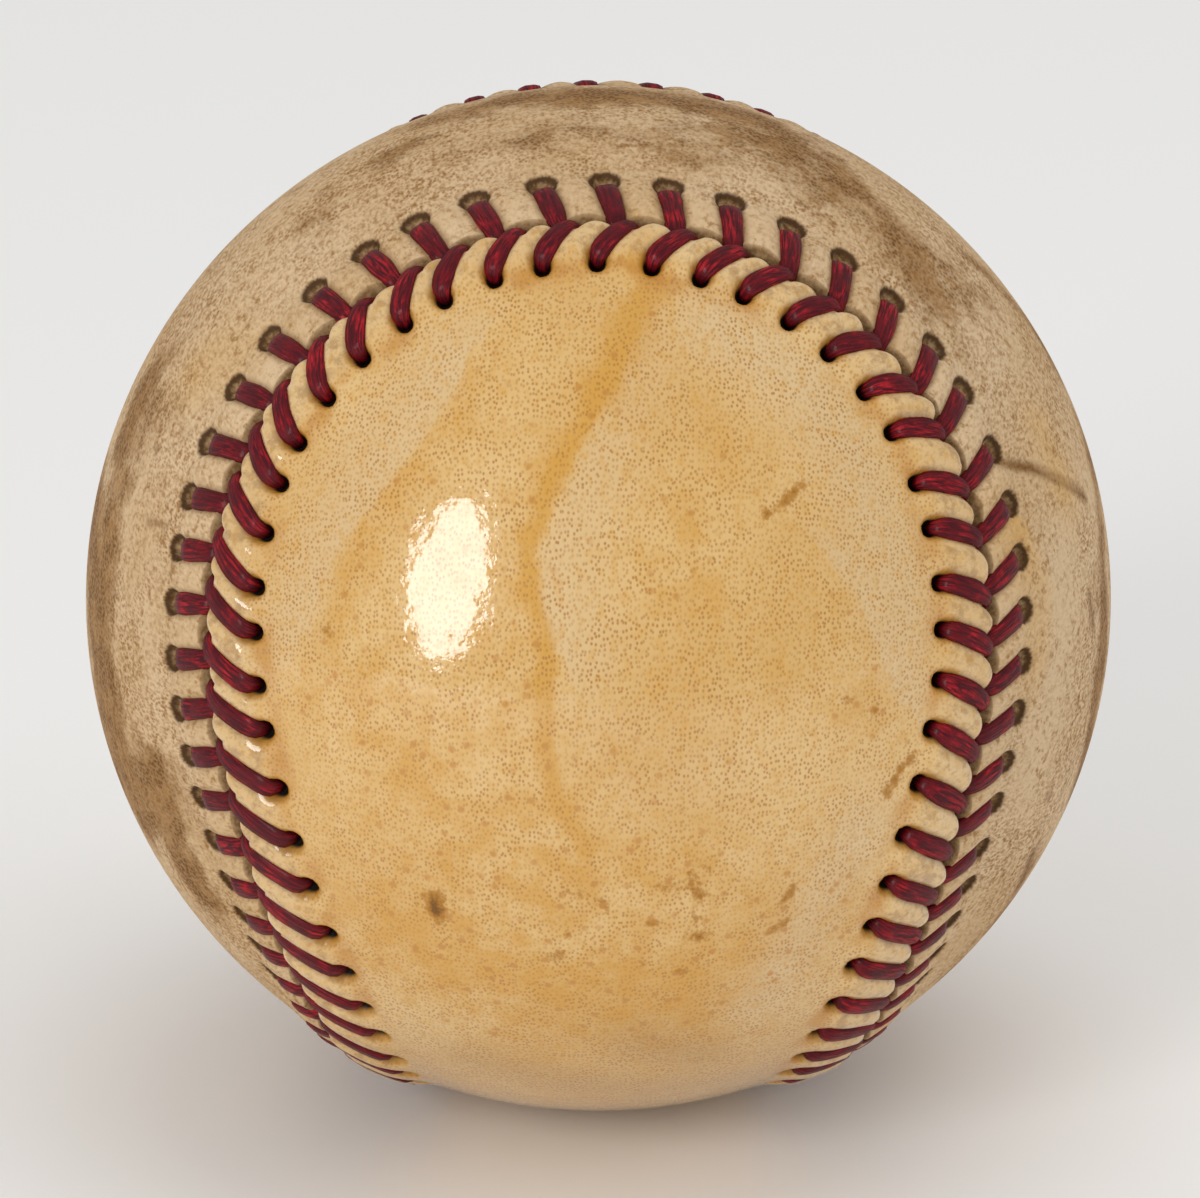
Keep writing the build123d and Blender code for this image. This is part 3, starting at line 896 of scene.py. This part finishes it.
def side_leather():
    """Upper cover: paler, greyer and dull, with brown flecks in the grain and fuzzy brown holes."""
    material, tree, shader = new_finish("side_leather", 0.7, 0.05)
    place = object_place(tree)
    cloud = noise(tree, place, 70, 4, 0.6)
    broad = noise(tree, place, 26, 3, 0.5)
    colour = blend(tree, span(tree, cloud, 0.32, 0.68), GREY_CREAM, BONE)
    amber = plus(tree, attribute(tree, "amber"), span(tree, broad, 0.56, 0.74, 0.0, 0.3))
    colour = blend(tree, amber, colour, STRAW)
    pale = attribute(tree, "pale")
    colour = blend(tree, pale, colour, BONE)

    # Soft tan mottles, also on the tabs between the stitches
    mottle = span(tree, noise(tree, place, 1700, 4, 0.65), 0.49, 0.66, 0.0, 0.80)
    mottle = times(tree, mottle, span(tree, noise(tree, place, 300, 3, 0.6), 0.36, 0.60, 0.35, 1.0))
    colour = blend(tree, mottle, colour, TAN_BROWN)

    # Flecks: small soft spots of old dirt in the grain, with fine pale fibres between them
    depth = attribute(tree, "depth")
    fleck = noise(tree, laid_place(tree, "hide", (1.0, 0.6, 1.0)), 2900, 2.5, 0.5)
    spot = cells(tree, laid_place(tree, "hide", (1.0, 0.7, 1.0)), 3100, flat=True)
    wear = span(tree, noise(tree, place, 110, 4, 0.65), 0.34, 0.62, 0.30, 1.0)
    wear = times(tree, wear, span(tree, larger(tree, pale, amber), 0.3, 0.9, 1.0, 0.35))
    wear = times(tree, wear, span(tree, depth, 0.30, 0.70, 0.45, 1.0))
    patchy = span(tree, noise(tree, place, 500, 4, 0.6), 0.34, 0.66, 0.15, 0.95)
    patchy = times(tree, patchy, wear)
    colour = blend(tree, times(tree, span(tree, spot, 0.55, 0.05), patchy), colour, FLECK_BROWN)
    worn_in = times(tree, span(tree, fleck, 0.46, 0.70, 0.0, 0.65), wear)
    colour = blend(tree, worn_in, colour, FLECK_BROWN)
    colour = blend(tree, span(tree, fleck, 0.46, 0.30, 0.0, 0.4), colour, BONE)

    # Ragged patches of dirt and painted shade along the ball's edge as seen from the camera, darkest in
    # the grain, and brown stains
    ragged_dirt_and_edge_shade = span(tree, noise(tree, place, 150, 5, 0.7), 0.3, 0.7, -0.45, 0.35)
    dirt_and_edge_shade = span(tree, plus(tree, attribute(tree, "dirt_and_edge_shade"), ragged_dirt_and_edge_shade), 0.10, 0.90)
    colour = blend(tree, times(tree, dirt_and_edge_shade, 0.75), colour, TAN_BROWN)
    edge_grime_and_shade = span(tree, noise(tree, place, 420, 5, 0.7), 0.38, 0.60, 0.1, 1.0)
    edge_grime_and_shade = times(tree, edge_grime_and_shade, span(tree, spot, 0.60, 0.10, 0.35, 1.0))
    colour = blend(tree, times(tree, dirt_and_edge_shade, edge_grime_and_shade), colour, DIRT_AND_SHADE_BROWN)
    colour = blend(tree, attribute(tree, "brown"), colour, STAIN_BROWN)

    # Dirt and painted contact shade beside the threads, the raw edge and the holes with torn rims
    leg = attribute(tree, "leg")
    colour = blend(tree, span(tree, leg, 0.30, 0.80, 0.0, 0.75), colour, SUEDE)
    fuzz = span(tree, noise(tree, place, 2200, 3, 0.7), 0.3, 0.7)
    colour = blend(tree, attribute(tree, "raw"), colour, blend(tree, fuzz, SUEDE, SUEDE_FUZZ))
    hole = attribute(tree, "hole")
    ragged = plus(tree, hole, span(tree, fleck, 0.3, 0.7, -0.06, 0.06))
    colour = blend(tree, span(tree, ragged, 1.28, 1.02, 0.0, 0.95), colour, RIM_BROWN)
    inside = blend(tree, fuzz, DIRT_AND_SHADE_BROWN, SUEDE_FUZZ)
    colour = blend(tree, span(tree, ragged, 0.92, 0.62, 0.0, 0.9), colour, inside)

    # Fine grain, dullest in the flecks
    normal = relief(tree, noise(tree, place, 420, 4, 0.65), 0.40, 0.00016)
    normal = relief(tree, fleck, 0.45, 0.00010, normal)
    dull = span(tree, fleck, 0.4, 0.7, 0.55, 0.78)
    put(tree, shader, {"Base Color": colour, "Normal": normal, "Roughness": dull})
    return material


def waxed_thread():
    """Dark crimson flat thread: fibres along it, rubbed red ridges, wine-dark dirt and a wax gloss."""
    material, tree, shader = new_finish("waxed_thread", 0.5, 0.12)
    fibre = noise(tree, laid_place(tree, "thread_lay", (5.0, 26.0, 1.0)), 1.0, 4, 0.6, 0.4)
    worn = noise(tree, object_place(tree), 650, 3, 0.6)
    colour = blend(tree, span(tree, fibre, 0.36, 0.66), WINE, CRIMSON)
    rubbed = times(tree, span(tree, fibre, 0.44, 0.64), span(tree, worn, 0.42, 0.66))
    colour = blend(tree, rubbed, colour, BRIGHT_RED)
    colour = blend(tree, span(tree, attribute(tree, "tone"), 0.3, 1.0, 0.0, 0.35), colour, WINE)
    put(tree, shader, {"Base Color": colour, "Normal": relief(tree, fibre, 0.7, 0.00018)})
    put(tree, shader, {"Roughness": span(tree, worn, 0.35, 0.7, 0.38, 0.62)})
    put(tree, shader, {"Coat Weight": 0.12, "Coat Roughness": 0.15})
    return material


def cork_composition():
    """Pressed cork: light and dark grains."""
    material, tree, shader = new_finish("cork", 0.85, 0.2)
    place = object_place(tree)
    colour = blend(tree, span(tree, noise(tree, place, 500, 4, 0.6), 0.3, 0.7), *CORK_TONES)
    colour = blend(tree, 0.25, colour, cells(tree, place, CORK_GRAINS, "Color"), "SOFT_LIGHT")
    normal = relief(tree, cells(tree, place, CORK_GRAINS), 0.5, 0.0002)
    put(tree, shader, {"Base Color": colour, "Normal": normal})
    return material


def moulded_rubber(name, tones):
    """Moulded rubber: dull, with a faint bloom."""
    material, tree, shader = new_finish(name, 0.6, 0.35)
    place = object_place(tree)
    bloom = noise(tree, place, 160, 4, 0.6)
    put(tree, shader, {"Base Color": blend(tree, span(tree, bloom, 0.35, 0.7), *tones)})
    put(tree, shader, {"Roughness": span(tree, bloom, 0.3, 0.7, 0.5, 0.72)})
    put(tree, shader, {"Normal": relief(tree, noise(tree, place, 1500, 2), 0.15, 0.00005)})
    return material


def wound_yarn(name, tones, yarn, turn):
    """Yarn of a thickness in metres wound tightly, as bands of strands that lie in one direction."""
    material, tree, shader = new_finish(name, 0.9, 0.15)
    place = object_place(tree, turn)
    strands = tree.nodes.new("ShaderNodeTexWave")
    strands.bands_direction = "Z"
    put(tree, strands, {"Vector": place, "Scale": WAVE_PERIOD / yarn})
    put(tree, strands, {"Distortion": 2.5, "Detail": 2.0})
    fuzz = noise(tree, place, 2600, 3, 0.7)
    colour = blend(tree, strands.outputs["Fac"], *tones)
    colour = blend(tree, span(tree, fuzz, 0.3, 0.7, 0.0, 0.35), colour, tones[1])
    normal = relief(tree, strands.outputs["Fac"], 0.8, 0.3 * yarn)
    normal = relief(tree, fuzz, 0.3, 0.0001, normal)
    put(tree, shader, {"Base Color": colour, "Normal": normal, "Sheen Weight": 0.3})
    return material


def rubber_cement():
    """Thin film of yellowed rubber cement."""
    material, tree, shader = new_finish("rubber_cement", 0.35, 0.5)
    smear = noise(tree, object_place(tree), 90, 5, 0.6, 1.0)
    colour = blend(tree, span(tree, smear, 0.3, 0.7), *CEMENT_TONES)
    put(tree, shader, {"Base Color": colour, "Normal": relief(tree, smear, 0.4, 0.0003)})
    return material


def dress(piece, material):
    """Give a piece one material."""
    piece.data.materials.clear()
    piece.data.materials.append(material)


# Pieces
dress(make_cover("lower"), front_leather())
dress(make_cover("upper"), side_leather())
thread_finish = waxed_thread()
dress(make_thread(0), thread_finish)
dress(make_thread(1), thread_finish)

black_rubber = moulded_rubber("black_rubber", BLACK_RUBBER_TONES)
red_rubber = moulded_rubber("red_rubber", RED_RUBBER_TONES)
grey_wool = wound_yarn("grey_wool", GREY_WOOL_TONES, 1.6 * MM, (0.5, 0.2, 0.0))
white_wool = wound_yarn("white_wool", WHITE_WOOL_TONES, 1.2 * MM, (1.2, 0.7, 0.0))
white_cotton = wound_yarn("white_cotton", WHITE_COTTON_TONES, 0.6 * MM, (0.3, 1.1, 0.0))
INSIDE_FINISHES = {
    "cork_core": cork_composition(),
    "inner_cup_lower": black_rubber,
    "inner_cup_upper": black_rubber,
    "inner_cup_gasket": red_rubber,
    "outer_cup_left": red_rubber,
    "outer_cup_right": red_rubber,
    "first_winding": grey_wool,
    "second_winding": white_wool,
    "third_winding": grey_wool,
    "finish_winding": white_cotton,
    "cement_coat": rubber_cement(),
}
for node, material in INSIDE_FINISHES.items():
    dress(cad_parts[node], material)


# Studio: pale floor, even light from the room, and soft lights, each with its direction in the camera's
# axes, its distance, width and height in metres, its power in watts, and whether gloss mirrors it
FLOOR_SIZE = 6.0
FLOOR_TONES = ((0.92, 0.92, 0.92, 1), (0.95, 0.95, 0.945, 1))
ROOM_COLOUR = (1.0, 0.99, 0.97, 1)
ROOM_STRENGTH = 0.58
LIGHTS = {
    "key_light": ((-0.537, 0.067, 0.843), 0.9, 0.28, 0.55, 3.0, True),
    "top_light": ((0.15, 0.95, 0.25), 1.4, 1.4, 1.0, 4.0, False),
    "right_fill": ((0.9, 0.2, 0.35), 1.4, 0.9, 1.2, 3.0, False),
}


def studio_floor():
    """Pale floor under the ball, with a faint unevenness."""
    bpy.ops.mesh.primitive_plane_add(size=FLOOR_SIZE, location=(0, 0, -REST_HEIGHT))
    floor = bpy.context.object
    floor.name = "floor"
    material, tree, shader = new_finish("pale_floor", 0.7, 0.2)
    cloud = noise(tree, object_place(tree), 3.0, 2)
    put(tree, shader, {"Base Color": blend(tree, cloud, *FLOOR_TONES)})
    floor.data.materials.append(material)


def soft_light(name, direction, distance, width, height, power, mirrored):
    """Oval light that faces the ball."""
    _, right, up, forward = camera_axes()
    toward = Vector(direction[0] * right + direction[1] * up - direction[2] * forward)
    place = toward.normalized() * distance
    data = bpy.data.lights.new(name, "AREA")
    data.shape = "ELLIPSE"
    data.size = width
    data.size_y = height
    data.energy = power
    light = bpy.data.objects.new(name, data)
    light.visible_glossy = mirrored
    light.location = place
    light.rotation_euler = (-place).to_track_quat("-Z", "Y").to_euler()
    bpy.context.scene.collection.objects.link(light)


def room_light():
    """Even pale light from all round."""
    world = bpy.data.worlds.new("room")
    bpy.context.scene.world = world
    world.use_nodes = True
    background = world.node_tree.nodes["Background"]
    put(world.node_tree, background, {"Color": ROOM_COLOUR, "Strength": ROOM_STRENGTH})
    bpy.context.scene.view_settings.view_transform = "Standard"


def studio_camera():
    """Camera at the photograph's angle, framing the ball as the photograph does."""
    place = camera_axes()[0]
    half_view = tan(asin(BALL_RADIUS / CAMERA_DISTANCE)) / PHOTO_RADIUS * PHOTO_WIDTH / 2
    data = bpy.data.cameras.new("camera")
    data.sensor_fit = "HORIZONTAL"
    data.lens = data.sensor_width / 2 / half_view
    data.clip_start = 0.01
    data.shift_x = (PHOTO_WIDTH / 2 - PHOTO_CENTRE[0]) / PHOTO_WIDTH
    data.shift_y = (PHOTO_CENTRE[1] - PHOTO_HEIGHT / 2) / PHOTO_WIDTH
    camera = bpy.data.objects.new("camera", data)
    camera.location = place
    camera.rotation_euler = (pi / 2 - CAMERA_ELEVATION, 0, 0)
    bpy.context.scene.collection.objects.link(camera)
    bpy.context.scene.camera = camera


studio_floor()
for light_name, settings in LIGHTS.items():
    soft_light(light_name, *settings)
studio_camera()
room_light()
